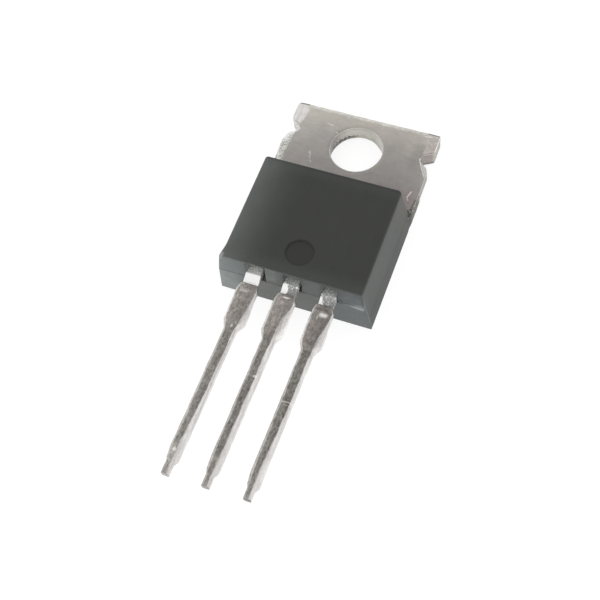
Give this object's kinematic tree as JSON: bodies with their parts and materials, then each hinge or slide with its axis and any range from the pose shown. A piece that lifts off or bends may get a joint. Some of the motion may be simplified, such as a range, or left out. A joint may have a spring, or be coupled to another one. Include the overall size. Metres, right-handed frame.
{
  "type": "power mosfet",
  "caption": "Through-hole power transistor: moulded black case on a metal tab with a screw hole and notched edges, with flat stepped leads.",
  "frame": {"origin": "centre of the mounting hole, on the mounting face (the back of the metal tab)", "axes": "+X from the gate lead to the source lead, +Y from the leads to the tab's top edge, +Z from the mounting face to the front of the case"},
  "size_m": [0.0104, 0.0289, 0.0044],
  "materials": {
    "epoxy": "matte filled epoxy moulding compound, dark grey",
    "plated_copper": "dull tin plating on copper, bare sheared copper at the ears",
    "plated_lead": "solder-dipped tin plating, satin with a fine grain",
    "silicon": "metallised silicon, satin",
    "solder": "dull lead-tin solder",
    "aluminium_wire": "drawn aluminium wire, bright"
  },
  "bodies": {
    "root": {"moulded_case": "epoxy", "drain_leadframe": "plated_copper", "gate_lead": "plated_lead", "source_lead": "plated_lead", "silicon_die": "silicon", "die_attach_solder": "solder", "gate_bond_wire": "aluminium_wire", "source_bond_wire_1": "aluminium_wire", "source_bond_wire_2": "aluminium_wire"}
  },
  "joints": []
}
